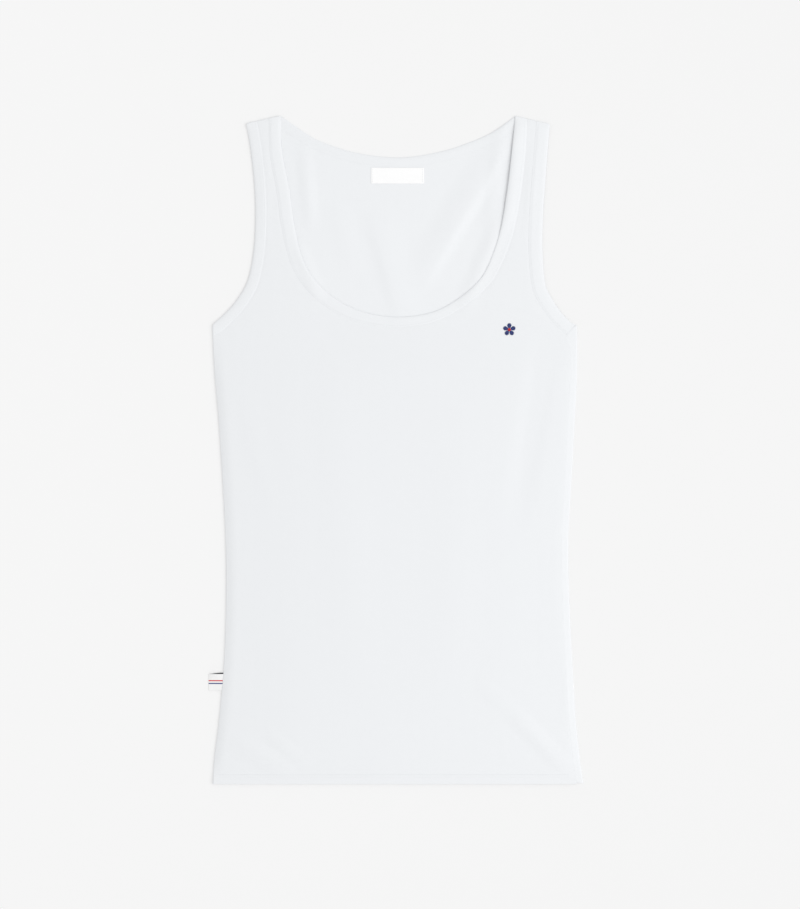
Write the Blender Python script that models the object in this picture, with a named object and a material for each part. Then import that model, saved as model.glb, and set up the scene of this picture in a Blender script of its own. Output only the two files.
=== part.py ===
"""A sleeveless rib-knit top, laid flat with its front up and its shoulders towards +Y.

Run it with blender --background --python part.py, or from Blender's text editor.

All sizes are in millimetres and turn into metres where a point is laid. The cloth lies in two
layers: the back on the surface, and the front on the back. A point of a layer is given on the
unrolled cloth, as its distance across (+X) and up (+Y), and lay() says where that point is once
the cloth is folded at the sides and over the shoulders. Left and right are the viewer's.
"""

import math
from collections import namedtuple

import bmesh
import bpy
import numpy as np
from mathutils import Vector
from mathutils.geometry import delaunay_2d_cdt

MM = 0.001  # metres in a millimetre
BACK, FRONT = "back", "front"
LEFT, RIGHT = -1, 1

# Walls and gaps
PANEL_WALL = 1.2  # one layer of rib knit
BINDING_WALL = 2.0  # a folded strip over the panel's raw edge
HEM_EXTRA = 0.6  # what the turned-up hem adds to a panel's wall
GAP = 0.3  # between any two pieces
FOLD_RADIUS = (BINDING_WALL + GAP) / 2  # of the cloth's middle, round a side or a shoulder
QUARTER_TURN = FOLD_RADIUS * math.pi / 2  # the cloth from a fold's start to its outermost line

# Heights on the garment, from its middle
HEM = -324.5  # the front's lower edge
HEM_TOP = HEM + 10.0  # the turned-up edge
BACK_HEM = HEM + 1.0  # the back ends a little higher, out of sight
UNDERARM = 121.0
SHOULDER_ZONE = UNDERARM + 9.0  # above here cloth turns over the shoulders, below at the sides
YOKE_START = 75.0  # from here up the front starts to ride on the back's bindings
YOKE_END = 112.0

# The side seams: on the left it lies on the fold, on the right a little inside the outline
SIDE_WRAP = 7.0  # how far the back comes round the right side onto the front
UNDERARM_WRAP = 3.9  # and how much further where the armhole binding is joined
UNDERARM_WRAP_START = 92.0
JOINT = 112.0  # the height of the joint's inner end
JOINT_CLEAR = 0.6  # from the fold's outermost line to the pieces on either side of it
WRAP_STEPS = [92.0, 97.0, 102.0, 107.0]  # heights up to the joint, where the seam curves

# Where the edges bulge a little, because a fold of knit is soft
EDGE_BULGE = 6.0
EDGE_BULGE_END = 16.0

# Mesh density
PANEL_SPACING = 18.0
STATION_SPACING = 9.0
TURN_STEPS = (0.6, 1.2, 1.8)  # along the unrolled cloth, through a quarter turn
END_STEPS = (0.0, *TURN_STEPS, 3.5, 6.5, 11.0)  # stations are closer where a binding turns over
NECK_REACH = 14.0  # the binding's cross-lines swing round to the shoulder's over this length
BACK_NECK_REACH = 8.0
ARMHOLE_REACH = 9.0

# The garment's outline at the sides, from the hem to the underarm
Side = namedtuple("Side", "up left right")
SIDES = [
    Side(up=-324.7, left=-178.1, right=182.2),
    Side(up=-300.0, left=-176.4, right=178.4),
    Side(up=-262.0, left=-171.7, right=174.6),
    Side(up=-204.0, left=-166.8, right=171.2),
    Side(up=-146.0, left=-164.9, right=168.3),
    Side(up=-88.0, left=-165.4, right=167.3),
    Side(up=-30.0, left=-168.3, right=170.5),
    Side(up=29.0, left=-172.2, right=173.6),
    Side(up=68.0, left=-175.6, right=175.6),
    Side(up=98.0, left=-177.5, right=176.0),
    Side(up=130.0, left=-178.6, right=175.8),
]

# Free edges of the bindings: band is the binding's width there
Edge = namedtuple("Edge", "across up band")
FRONT_NECK = [
    Edge(across=-112.0, up=324.7, band=11.6),
    Edge(across=-110.6, up=290.8, band=12.1),
    Edge(across=-103.3, up=252.0, band=12.8),
    Edge(across=-98.5, up=218.0, band=12.8),
    Edge(across=-90.4, up=185.0, band=12.6),
    Edge(across=-77.6, up=163.7, band=12.6),
    Edge(across=-56.5, up=145.4, band=12.0),
    Edge(across=-32.0, up=134.1, band=11.0),
    Edge(across=3.0, up=129.0, band=10.0),
    Edge(across=36.0, up=134.0, band=9.4),
    Edge(across=61.5, up=147.6, band=9.4),
    Edge(across=81.5, up=165.5, band=10.2),
    Edge(across=91.7, up=183.5, band=11.2),
    Edge(across=101.9, up=213.1, band=12.2),
    Edge(across=109.1, up=252.0, band=12.5),
    Edge(across=113.5, up=290.8, band=12.5),
    Edge(across=115.9, up=324.4, band=11.6),
]
BACK_NECK = [
    Edge(across=-112.0, up=324.7, band=11.6),
    Edge(across=-95.0, up=312.4, band=10.0),
    Edge(across=-75.0, up=300.4, band=9.7),
    Edge(across=-38.0, up=288.4, band=9.7),
    Edge(across=4.0, up=284.0, band=9.7),
    Edge(across=45.0, up=290.1, band=9.7),
    Edge(across=79.0, up=301.6, band=9.7),
    Edge(across=98.5, up=311.4, band=10.0),
    Edge(across=115.9, up=324.4, band=11.6),
]
LEFT_ARMHOLE = [
    Edge(across=-145.5, up=317.0, band=10.8),
    Edge(across=-141.1, up=290.8, band=10.8),
    Edge(across=-137.4, up=256.0, band=10.8),
    Edge(across=-136.5, up=226.0, band=10.8),
    Edge(across=-138.2, up=193.8, band=10.8),
    Edge(across=-144.0, up=164.7, band=10.8),
    Edge(across=-154.7, up=145.3, band=10.8),
    Edge(across=-166.5, up=132.1, band=10.8),
    Edge(across=-178.5, up=121.0, band=10.8),
]
RIGHT_ARMHOLE = [
    Edge(across=149.4, up=316.4, band=13.2),
    Edge(across=147.4, up=290.8, band=13.6),
    Edge(across=144.4, up=252.0, band=13.6),
    Edge(across=142.4, up=214.0, band=13.6),
    Edge(across=142.6, up=186.0, band=13.6),
    Edge(across=145.4, up=159.5, band=13.2),
    Edge(across=152.3, up=145.3, band=13.0),
    Edge(across=161.8, up=131.8, band=12.6),
    Edge(across=173.6, up=120.0, band=11.7),
]
BACK_ARMHOLE_INSET = 0.8  # the back's armhole edges lie this far inside the front's

# Soft folds. A fold of the back lifts the front over it as well.
Fold = namedtuple("Fold", "layer from_x from_y to_x to_y half_width height")
FOLDS = [
    Fold(layer=BACK, from_x=104, from_y=274, to_x=30, to_y=162, half_width=15, height=2.2),
    Fold(layer=BACK, from_x=-92, from_y=286, to_x=-70, to_y=168, half_width=14, height=1.8),
    Fold(layer=BACK, from_x=-50, from_y=236, to_x=-22, to_y=122, half_width=19, height=1.5),
    Fold(layer=BACK, from_x=-8, from_y=240, to_x=18, to_y=118, half_width=19, height=1.5),
    Fold(layer=FRONT, from_x=118, from_y=332, to_x=100, to_y=192, half_width=17, height=3.6),
    Fold(layer=FRONT, from_x=156, from_y=112, to_x=128, to_y=-70, half_width=20, height=-1.6),
    Fold(layer=FRONT, from_x=96, from_y=-226, to_x=176, to_y=-310, half_width=17, height=2.2),
    Fold(layer=FRONT, from_x=-160, from_y=-282, to_x=-98, to_y=-316, half_width=17, height=1.5),
    Fold(layer=FRONT, from_x=-60, from_y=90, to_x=-36, to_y=-250, half_width=34, height=0.9),
    Fold(layer=FRONT, from_x=60, from_y=60, to_x=52, to_y=-270, half_width=38, height=0.9),
]
FRONT_CROWN = 1.6  # air between the layers in the middle of the body
CROWN_REACH = 70.0  # from the sides and the hem to the full crown
CROWN_TOP = 180.0  # by this height most of the crown has gone
YOKE_CROWN = 0.3  # the share of it that is left
FOLD_CLEAR = 9.0  # folds die out over this distance before the cloth turns over

# Woven pieces
LABEL_WIDTH = 51.4
LABEL_HEIGHT = 15.4
LABEL_MIDDLE = (1.5, 266.2)
LABEL_WALL = 1.0
LABEL_STEPS = 8
TAG_TIP = -182.2  # how far across it reaches, out of the left side seam
TAG_WIDTH = 16.5
TAG_UP = -225.3  # the height of its middle
TAG_WALL = 1.1
TAG_ROOT = 1.15  # the height of its underside where it leaves the seam
TAG_STEPS = 6

WHITE_KNIT = (0.86, 0.88, 0.90)
WHITE_WOVEN = (0.90, 0.90, 0.90)
KNIT_ROUGHNESS = 0.9
WOVEN_ROUGHNESS = 0.7

Shoulder = namedtuple("Shoulder", "inner normal along")
End = namedtuple("End", "direction shift reach")
Station = namedtuple("Station", "layer edge seam")


# ---- curves


def smooth(value, start, end):
    """0 at start and 1 at end, with soft ends; start may be the larger."""
    share = min(max((value - start) / (end - start), 0.0), 1.0)
    return share * share * (3.0 - 2.0 * share)


def spline(places, values, place):
    """A smooth curve through rows of values: Catmull-Rom, with uneven steps."""
    i = min(max(int(np.searchsorted(places, place)) - 1, 0), len(places) - 2)
    step = places[i + 1] - places[i]
    before, after = max(i - 1, 0), min(i + 2, len(places) - 1)
    slope_in = (values[i + 1] - values[before]) / (places[i + 1] - places[before])
    slope_out = (values[after] - values[i]) / (places[after] - places[i])
    t = (place - places[i]) / step
    return float(
        values[i] * (2 * t**3 - 3 * t**2 + 1)
        + slope_in * step * (t**3 - 2 * t**2 + t)
        + values[i + 1] * (3 * t**2 - 2 * t**3)
        + slope_out * step * (t**3 - t**2)
    )


SIDE_HEIGHTS = np.array([row.up for row in SIDES])
SIDE_REACHES = {
    LEFT: np.array([-row.left for row in SIDES]),
    RIGHT: np.array([row.right for row in SIDES]),
}


def side_reach(side, up):
    """How far the outline reaches from the middle at a height."""
    return spline(SIDE_HEIGHTS, SIDE_REACHES[side], min(up, SIDE_HEIGHTS[-1]))


def shoulder(neck_end, armhole_end):
    """The fold over a shoulder: its line runs from the neck's corner to the armhole's."""
    inner = Vector((neck_end.across, neck_end.up))
    along = (Vector((armhole_end.across, armhole_end.up)) - inner).normalized()
    normal = Vector((abs(along.y) * math.copysign(1.0, inner.x), abs(along.x)))
    return Shoulder(inner, normal, along)


SHOULDERS = {
    LEFT: shoulder(FRONT_NECK[0], LEFT_ARMHOLE[0]),
    RIGHT: shoulder(FRONT_NECK[-1], RIGHT_ARMHOLE[0]),
}


# ---- where the cloth lies


def past_side(across, up, wall):
    """How far past the start of the nearer side's fold a point lies."""
    side = RIGHT if across > 0 else LEFT
    return side * across - side_reach(side, up) + FOLD_RADIUS + wall / 2


def past_shoulder(across, up, wall):
    """How far past the start of the nearer shoulder's fold a point lies."""
    fold = SHOULDERS[RIGHT if across > 0 else LEFT]
    return (Vector((across, up)) - fold.inner).dot(fold.normal) + FOLD_RADIUS + wall / 2


def under_front(across, up):
    """The height of the back's upper face, eased over where it has bindings, hem or bulges."""
    inward = -past_side(across, up, PANEL_WALL)
    thin = 1 - smooth(up, YOKE_START, YOKE_END)
    thin *= 1 - smooth(up, HEM_TOP + EDGE_BULGE_END, HEM_TOP)
    thin *= 1 - smooth(inward, EDGE_BULGE_END, EDGE_BULGE)
    return BINDING_WALL - (BINDING_WALL - PANEL_WALL) * thin


def fold_height(fold, across, up):
    """How much one fold lifts the cloth at a point."""
    start = Vector((fold.from_x, fold.from_y))
    run = Vector((fold.to_x, fold.to_y)) - start
    offset = Vector((across, up)) - start
    share = offset.dot(run) / run.length_squared
    away = abs(offset.cross(run)) / run.length / fold.half_width
    if not 0 < share < 1 or away >= 1:
        return 0.0
    return fold.height * math.cos(away * math.pi / 2) ** 2 * math.sin(share * math.pi) ** 0.7


def lifted(layer, across, up):
    """How far its folds lift a layer. They die out before the cloth turns over."""
    inward = -past_side(across, up, PANEL_WALL)
    if up > SHOULDER_ZONE:
        fade = smooth(-past_shoulder(across, up, PANEL_WALL), 0.0, FOLD_CLEAR)
    else:
        fade = smooth(inward, 0.0, FOLD_CLEAR) * smooth(up, HEM, HEM + FOLD_CLEAR)
    lift = sum(fold_height(fold, across, up) for fold in FOLDS if fold.layer == BACK)
    if layer == FRONT:
        crown = FRONT_CROWN * smooth(inward, 0.0, CROWN_REACH) * smooth(up, HEM, HEM + CROWN_REACH)
        crown *= 1 - (1 - YOKE_CROWN) * smooth(up, YOKE_START, CROWN_TOP)
        crown += sum(fold_height(fold, across, up) for fold in FOLDS if fold.layer == FRONT)
        lift += max(crown, 0.0)
    return lift * fade


def lay(layer, across, up, height, wall):
    """Where a point of the unrolled cloth lies, in metres. height is measured through the wall,
    on the back from outside the garment and on the front from inside it."""
    if up > SHOULDER_ZONE:
        past, turn = past_shoulder(across, up, wall), SHOULDERS[RIGHT if across > 0 else LEFT].normal
    else:
        past, turn = past_side(across, up, wall), Vector((math.copysign(1.0, across), 0.0))
    past = max(past, 0.0)
    angle = min(past / FOLD_RADIUS, math.pi)
    beyond = max(past - math.pi * FOLD_RADIUS, 0.0)
    through = height - wall / 2
    if layer == BACK:
        bottom, climbs = lifted(BACK, across, up), 1.0
    else:
        bottom, climbs = under_front(across, up) + GAP + lifted(FRONT, across, up), -1.0
    outward = FOLD_RADIUS * math.sin(angle) - beyond - past - climbs * through * math.sin(angle)
    level = bottom + wall / 2 + climbs * FOLD_RADIUS * (1 - math.cos(angle)) + through * math.cos(angle)
    return Vector((across + turn.x * outward, up + turn.y * outward, level)) * MM


# ---- meshes


def solid(name, points, faces, colour, roughness):
    """A closed mesh object with its own material."""
    mesh = bpy.data.meshes.new(name)
    mesh.from_pydata(points, [], faces)
    body = bmesh.new()
    body.from_mesh(mesh)
    bmesh.ops.recalc_face_normals(body, faces=body.faces)
    body.to_mesh(mesh)
    body.free()
    mesh.shade_smooth()
    mesh.set_sharp_from_angle(angle=math.radians(40))
    piece = bpy.data.objects.new(name, mesh)
    bpy.context.scene.collection.objects.link(piece)
    material = bpy.data.materials.new(name + "_finish")
    material.use_nodes = True
    shader = material.node_tree.nodes["Principled BSDF"]
    shader.inputs["Base Color"].default_value = (*colour, 1.0)
    shader.inputs["Roughness"].default_value = roughness
    shader.inputs["Metallic"].default_value = 0.0
    mesh.materials.append(material)
    return piece


def plate(name, rows, colour, roughness):
    """A closed plate from rows of (lower, upper) points."""
    width = len(rows[0])
    points = [pair[level] for level in (0, 1) for row in rows for pair in row]
    top = len(rows) * width
    faces, rim = [], []
    for j in range(len(rows) - 1):
        for i in range(width - 1):
            cell = (j * width + i, j * width + i + 1, (j + 1) * width + i + 1, (j + 1) * width + i)
            faces.append(tuple(top + k for k in cell))
            faces.append(cell[::-1])
    rim += range(width)
    rim += [j * width + width - 1 for j in range(1, len(rows))]
    rim += [(len(rows) - 1) * width + i for i in reversed(range(width - 1))]
    rim += [j * width for j in reversed(range(1, len(rows) - 1))]
    for a, b in zip(rim, rim[1:] + rim[:1]):
        faces.append((a, b, top + b, top + a))
    return solid(name, points, faces, colour, roughness)


# ---- bindings


def free_edge(rows, inset, side):
    """A function that gives a free edge's place, direction and width at a distance along it,
    and the edge's length. inset moves it towards the garment's middle, below the shoulder."""
    xs = np.array([row.across - side * inset * min(k / 2, 1) for k, row in enumerate(rows)])
    ys = np.array([row.up for row in rows], float)
    bands = np.array([row.band for row in rows])
    along = np.concatenate([[0.0], np.cumsum(np.hypot(np.diff(xs), np.diff(ys)))])
    length = float(along[-1])

    def place(distance):
        return Vector((spline(along, xs, distance), spline(along, ys, distance)))

    def at(distance):
        ahead = place(min(distance + 0.5, length)) - place(max(distance - 0.5, 0.0))
        return place(distance), ahead.normalized(), float(np.interp(distance, along, bands))

    return at, length


def spread(length):
    """Distances along a binding, closer together near both ends."""
    count = round((length - 2 * END_STEPS[-1]) / STATION_SPACING)
    middle = np.linspace(END_STEPS[-1], length - END_STEPS[-1], count + 1)[1:-1]
    return [*END_STEPS, *middle, *(length - step for step in reversed(END_STEPS))]


def stations(layer, rows, hand, ends, inset=0.0, side=RIGHT):
    """Cross-lines of a binding, from its free edge to its seam. hand is 1 where the cloth lies
    to the left of the way the rows run, and -1 where it lies to the right."""
    at, length = free_edge(rows, inset, side)
    lines = []
    for distance in spread(length):
        place, ahead, band = at(distance)
        across = Vector((-ahead.y, ahead.x)) * hand
        for end, away in zip(ends, (distance, length - distance)):
            if end:
                share = 1 - smooth(away, 0.0, end.reach)
                across = across * (1 - share) + end.direction * share
                place = place + end.shift * share
        lines.append(Station(layer, place, place + across.normalized() * band))
    return lines


def shoulder_end(side, hand, reach):
    """A binding's end on a shoulder, along the fold's outermost line. hand is 1 for the neck's
    binding and -1 for an armhole's, which starts from the strap's other edge."""
    fold = SHOULDERS[side]
    shift = fold.normal * (QUARTER_TURN - FOLD_RADIUS - BINDING_WALL / 2)
    return End(fold.along * hand, shift, reach)


def side_end(side, corner, inset, clear):
    """A binding's end at the underarm, down the side fold's outermost line."""
    low = corner.up - corner.band
    target = side_reach(side, corner.up) - FOLD_RADIUS - BINDING_WALL / 2 + QUARTER_TURN - clear
    shift = target - (side * corner.across - inset)
    slope = side_reach(side, low) - side_reach(side, corner.up)
    direction = Vector((side * slope, -corner.band)).normalized()
    return End(direction, Vector((side * shift, 0.0)), ARMHOLE_REACH)


def neck_stations(layer):
    """The neck binding's cross-lines on one layer, from the left shoulder to the right one."""
    rows, reach = (FRONT_NECK, NECK_REACH) if layer == FRONT else (BACK_NECK, BACK_NECK_REACH)
    ends = [shoulder_end(LEFT, 1, reach), shoulder_end(RIGHT, 1, reach)]
    return stations(layer, rows, -1, ends)


def armhole_stations(layer, side):
    """An armhole binding's cross-lines on one layer, from the shoulder to the underarm."""
    rows = LEFT_ARMHOLE if side == LEFT else RIGHT_ARMHOLE
    inset = BACK_ARMHOLE_INSET if layer == BACK else 0.0
    underarm = side_end(side, rows[-1], inset, JOINT_CLEAR if side == RIGHT else GAP / 2)
    if layer == FRONT and side == RIGHT:
        underarm = None  # its end is square, against the back's wrap
    ends = [shoulder_end(side, -1, ARMHOLE_REACH), underarm]
    return stations(layer, rows, -side, ends, inset, side)


def binding(name, lines, closed):
    """A folded strip through its cross-lines, a little rounded over its faces and free edge."""
    section = [(0, 0.5), (0.08, 0.94), (0.5, 1), (1, 0.94), (1, 0.06), (0.5, 0), (0.08, 0.06)]
    count = len(section)
    points, faces = [], []
    for line in lines:
        for share, through in section:
            across, up = line.edge.lerp(line.seam, share)
            height = through if line.layer == FRONT else 1 - through
            points.append(lay(line.layer, across, up, height * BINDING_WALL, BINDING_WALL))
    for i in range(len(lines) if closed else len(lines) - 1):
        here, there = i * count, (i + 1) % len(lines) * count
        for k in range(count):
            after = (k + 1) % count
            faces.append((here + k, here + after, there + after, there + k))
    if not closed:
        faces.append(tuple(range(count)))
        faces.append(tuple(range(len(points) - count, len(points))))
    return solid(name, points, faces, WHITE_KNIT, KNIT_ROUGHNESS)


def neck_binding():
    """One closed ring: down the front from the left, up to the right, and back over the back."""
    back = neck_stations(BACK)[::-1]
    return binding("neck_binding", neck_stations(FRONT) + back[1:-1], closed=True)


def armhole_binding(name, side):
    """One strip: from the front's underarm over the shoulder to the back's underarm."""
    lines = armhole_stations(FRONT, side)[::-1] + armhole_stations(BACK, side)[1:]
    return binding(name, lines, closed=False)


# ---- panels


def seam_side(lines):
    """A panel's edge along a binding, a gap past the seam. Where the cloth turns over, the edge
    moves out, since the fold of the panel's thinner cloth starts further out."""
    edge = []
    for before, line, after in zip([lines[0], *lines], lines, [*lines[1:], lines[-1]]):
        point = line.seam + (line.seam - line.edge).normalized() * GAP
        ahead = after.seam - before.seam
        move = (BINDING_WALL - PANEL_WALL) / 2
        if point.y > SHOULDER_ZONE:
            turn = SHOULDERS[RIGHT if point.x > 0 else LEFT].normal
            move = (move - GAP / 2) * smooth(past_shoulder(*point, PANEL_WALL), -4.0, 1.2)
        else:
            turn = Vector((math.copysign(1.0, point.x), 0.0))
            move *= smooth(past_side(*point, PANEL_WALL), -4.0, 1.2)
            point.y -= move  # the sloping seam needs more room where the two walls turn
        edge.append(point + ahead * move / ahead.dot(turn))
    return edge


def even(low, high):
    """Evenly spaced numbers from low to high."""
    return [float(x) for x in np.linspace(low, high, max(2, round(abs(high - low) / PANEL_SPACING)) + 1)]


def heights(low, high):
    """Heights from a panel's lower edge up, with the hem's step."""
    return [low, HEM_TOP - 1.0, HEM_TOP + 1.0, *even(HEM_TOP + 1.0, high)[1:]]


def column(ups, across_at):
    """Points up the cloth, each as far across as a function says."""
    return [Vector((across_at(up), up)) for up in ups]


def wall_at(up):
    """A panel's wall: thicker in the hem."""
    return PANEL_WALL + HEM_EXTRA * smooth(up, HEM_TOP + 1.0, HEM_TOP - 1.0)


def fold_line(side, up):
    """How far across a panel's cloth reaches a side's outermost line."""
    return side * (side_reach(side, up) - FOLD_RADIUS - wall_at(up) / 2 + QUARTER_TURN)


def left_edge(up):
    """Where a panel's cloth ends on the left fold, against the other panel's."""
    return fold_line(LEFT, up) + GAP / 2


def seam_reach(up):
    """How far from the middle the right side seam lies, on top."""
    wrap = SIDE_WRAP + UNDERARM_WRAP * smooth(up, UNDERARM_WRAP_START, JOINT)
    return side_reach(RIGHT, up) - wrap


def rolled(reach_on_top, up):
    """How far across the back's cloth is where it reaches a point on top, at the right."""
    start = side_reach(RIGHT, up) - FOLD_RADIUS - wall_at(up) / 2
    return 2 * start + math.pi * FOLD_RADIUS - reach_on_top


def strap_rows(side, neck_end, armhole_end):
    """Rows of points across a strap, where it turns over the shoulder."""
    normal = SHOULDERS[side].normal
    middle = [neck_end.lerp(armhole_end, share) for share in (0.25, 0.5, 0.75)]
    return [[point - normal * step for point in middle] for step in TURN_STEPS]


def hem_rows(left, right):
    """Rows of points either side of the hem's step."""
    return [[Vector((x, up)) for x in even(left, right)] for up in (HEM_TOP - 1.0, HEM_TOP + 1.0)]


def upper_edge(layer):
    """A panel's edge from the right underarm over both straps to the left one, with the rows of
    points where the straps turn over."""
    right = seam_side(armhole_stations(layer, RIGHT))[::-1]
    neck = seam_side(neck_stations(layer))[::-1]
    left = seam_side(armhole_stations(layer, LEFT))
    rows = strap_rows(RIGHT, neck[0], right[-1]) + strap_rows(LEFT, neck[-1], left[0])
    right_top = [right[-1].lerp(neck[0], share) for share in (0.33, 0.67)]
    left_top = [neck[-1].lerp(left[0], share) for share in (0.33, 0.67)]
    return right + right_top + neck + left_top + left, rows


def front_panel():
    """The front: from the left side's fold to the seam just inside the right outline."""
    upper, rows = upper_edge(FRONT)
    right = column(heights(HEM, WRAP_STEPS[0])[:-1] + WRAP_STEPS, lambda up: seam_reach(up) - GAP)
    left = column(heights(HEM, upper[-1].y - 4.0), left_edge)
    bottom = [Vector((x, HEM)) for x in even(left[0].x + TURN_STEPS[-1], right[0].x)][:-1]
    for step in TURN_STEPS:
        rows.append([point + Vector((step, 0)) for point in left])
    rows += hem_rows(left[0].x + 8.0, right[0].x - 6.0)
    return panel("front_panel", FRONT, bottom + right + upper + left[::-1], rows)


def back_panel():
    """The back: from the left side's fold, under the front, and round the right side onto it."""
    upper, rows = upper_edge(BACK)
    joint = armhole_stations(FRONT, RIGHT)[-1]
    along = (joint.edge - joint.seam).normalized()
    clear = Vector((along.y, -along.x)) * GAP
    ups = heights(BACK_HEM, WRAP_STEPS[0])[:-1] + WRAP_STEPS
    right = column(ups, lambda up: rolled(seam_reach(up), up))
    for across, up in (joint.seam + clear, joint.edge + clear):
        right.append(Vector((rolled(across, up), up)))
    slot = fold_line(RIGHT, UNDERARM) + JOINT_CLEAR
    right += [Vector((slot, right[-1].y + 0.4)), Vector((slot, upper[0].y))]
    left = column(heights(BACK_HEM, upper[-1].y - 4.0), left_edge)
    fold = column(heights(BACK_HEM, upper[0].y - 4.0), lambda up: fold_line(RIGHT, up))
    bottom = [Vector((x, BACK_HEM)) for x in even(left[0].x + TURN_STEPS[-1], fold[0].x)][:-1]
    for step in TURN_STEPS:
        rows.append([point + Vector((step, 0)) for point in left])
    beside_slot = column([*even(upper[0].y - 4.0, joint.edge.y - 1.5)[1:]], lambda up: fold_line(RIGHT, up))
    for k in range(-3, 5):
        run = fold + beside_slot if k > 1 else fold
        rows.append([point + Vector((k * TURN_STEPS[0], 0)) for point in run])
    rows += hem_rows(left[0].x + 8.0, fold[0].x - 8.0)
    return panel("back_panel", BACK, bottom + right + upper + left[::-1], rows)


def inside(point, outline):
    """Whether a point lies within a closed outline."""
    hit = False
    for a, b in zip(outline, outline[1:] + outline[:1]):
        if (a.y > point.y) != (b.y > point.y):
            if point.x < a.x + (point.y - a.y) / (b.y - a.y) * (b.x - a.x):
                hit = not hit
    return hit


def lattice(outline, rows):
    """Evenly staggered points within an outline, clear of its edge and of the given rows."""
    taken = np.array([tuple(p) for p in outline] + [tuple(p) for row in rows for p in row])
    low, high = taken.min(axis=0), taken.max(axis=0)
    rise = PANEL_SPACING * math.sqrt(3) / 2
    points = []
    for j in range(int((high[1] - low[1]) / rise) + 1):
        for i in range(int((high[0] - low[0]) / PANEL_SPACING) + 1):
            point = Vector((low[0] + (i + j % 2 / 2) * PANEL_SPACING, low[1] + j * rise))
            clear = np.hypot(*(taken - tuple(point)).T).min() > PANEL_SPACING * 0.55
            if clear and inside(point, outline):
                points.append(point)
    return points


def panel(name, layer, outline, rows):
    """A panel from its outline and rows of points on the unrolled cloth, with a wall."""
    points = list(outline)
    edges = [(k, (k + 1) % len(outline)) for k in range(len(outline))]
    for row in rows:
        edges += [(len(points) + k, len(points) + k + 1) for k in range(len(row) - 1)]
        points += row
    points += lattice(outline, rows)
    flat, _, hull, *_ = delaunay_2d_cdt(points, edges, [], 0, 1e-4, False)
    middles = [sum((flat[k] for k in face), Vector((0, 0))) / 3 for face in hull]
    triangles = [face for face, middle in zip(hull, middles) if inside(middle, outline)]
    count = len(flat)
    placed = []
    for share in (0, 1):
        for across, up in flat:
            placed.append(lay(layer, across, up, share * wall_at(up), wall_at(up)))
    faces = [tuple(count + k for k in face) for face in triangles]
    faces += [tuple(reversed(face)) for face in triangles]
    used = {(face[k], face[(k + 1) % 3]) for face in triangles for k in range(3)}
    faces += [(a, b, count + b, count + a) for a, b in sorted(used) if (b, a) not in used]
    return solid(name, placed, faces, WHITE_KNIT, KNIT_ROUGHNESS)


# ---- woven pieces


def neck_label():
    """A woven label on the inside of the back, just under the neck binding's seam."""
    rows = []
    for up in (LABEL_MIDDLE[1] - LABEL_HEIGHT / 2, LABEL_MIDDLE[1], LABEL_MIDDLE[1] + LABEL_HEIGHT / 2):
        row = []
        for i in range(LABEL_STEPS + 1):
            across = LABEL_MIDDLE[0] + (i / LABEL_STEPS - 0.5) * LABEL_WIDTH
            under = PANEL_WALL + GAP
            row.append([lay(BACK, across, up, under + h, PANEL_WALL) for h in (0.0, LABEL_WALL)])
        rows.append(row)
    return plate("neck_label", rows, WHITE_WOVEN, WOVEN_ROUGHNESS)


def side_tag():
    """A folded woven tag, which leaves the left side seam and comes down to the surface."""
    rows = []
    for up in (TAG_UP - TAG_WIDTH / 2, TAG_UP, TAG_UP + TAG_WIDTH / 2):
        row = []
        for i in range(TAG_STEPS + 1):
            share = i / TAG_STEPS
            across = -side_reach(LEFT, up) - GAP
            across += share * (TAG_TIP - across)
            low = TAG_ROOT * (1 - smooth(share, 0.0, 0.8))
            row.append([Vector((across, up, low + h)) * MM for h in (0.0, TAG_WALL)])
        rows.append(row)
    return plate("side_tag", rows, WHITE_WOVEN, WOVEN_ROUGHNESS)


def main():
    for old in list(bpy.data.objects):
        bpy.data.objects.remove(old, do_unlink=True)
    back_panel()
    front_panel()
    neck_binding()
    armhole_binding("armhole_binding_left", LEFT)
    armhole_binding("armhole_binding_right", RIGHT)
    neck_label()
    side_tag()


main()
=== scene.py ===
import math

import bpy
import numpy as np
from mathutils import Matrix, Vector
from mathutils.geometry import delaunay_2d_cdt
from mathutils.kdtree import KDTree


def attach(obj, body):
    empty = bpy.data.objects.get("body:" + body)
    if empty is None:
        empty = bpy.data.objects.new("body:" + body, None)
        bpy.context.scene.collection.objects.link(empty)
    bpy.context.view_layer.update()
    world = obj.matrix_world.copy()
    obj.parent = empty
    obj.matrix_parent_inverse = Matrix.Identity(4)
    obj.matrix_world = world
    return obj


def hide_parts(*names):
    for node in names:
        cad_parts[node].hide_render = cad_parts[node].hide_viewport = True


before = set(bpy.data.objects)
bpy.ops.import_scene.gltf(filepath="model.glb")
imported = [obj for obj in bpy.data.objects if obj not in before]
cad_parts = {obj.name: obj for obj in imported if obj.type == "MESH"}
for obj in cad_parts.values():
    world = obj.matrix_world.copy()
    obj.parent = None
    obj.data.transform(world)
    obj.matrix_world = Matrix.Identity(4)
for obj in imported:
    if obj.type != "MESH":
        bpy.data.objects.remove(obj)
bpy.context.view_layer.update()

# A sleeveless rib-knit top, laid flat. Lengths are in millimetres on the unrolled cloth, across (+X)
# and up (+Y), until lay() folds the cloth round the sides and the shoulders and gives metres.

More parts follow.
